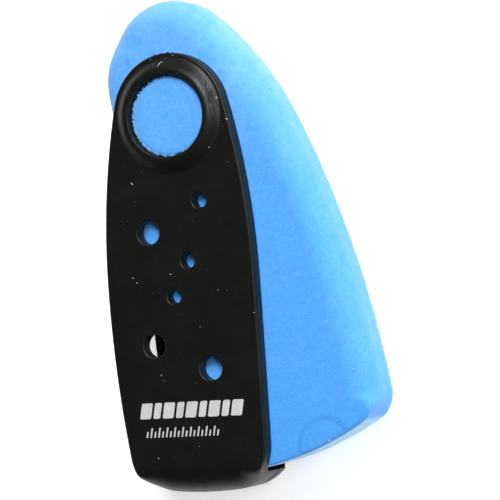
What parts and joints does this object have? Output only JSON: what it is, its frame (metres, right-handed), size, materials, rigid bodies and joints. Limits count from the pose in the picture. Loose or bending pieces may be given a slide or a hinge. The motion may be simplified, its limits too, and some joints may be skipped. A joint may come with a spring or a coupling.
{
  "type": "swivel pencil eraser",
  "caption": "Pocket-knife style pencil eraser: a tapered rubber block that turns on a round pivot in a flat U-shaped plastic holder with pierced plates.",
  "frame": {"origin": "middle of the footprint, on the plane that the back collar's crest rests on, in the pose where the block is swung 13.3 degrees out of the holder", "axes": "+Y along the holder from its wide closed end to its narrow nose, +Z across the thickness from the back plate to the front plate, +X towards the side that the block swings out of"},
  "size_m": [0.0436, 0.079, 0.0189],
  "materials": {
    "holder_plastic": "black moulded plastic with a fine satin texture",
    "eraser_rubber": "sky-blue eraser rubber, matte and slightly powdery",
    "print_ink": "white pad-printed ink"
  },
  "bodies": {
    "holder": {"holder": "holder_plastic"},
    "eraser": {"eraser_block": "eraser_rubber"}
  },
  "joints": [
    {"name": "swing", "type": "hinge", "parent": "holder", "child": "eraser", "pos_m": [-0.00866, 0.02053, 0.00945], "axis": [0, 0, 1], "continuous": true}
  ]
}
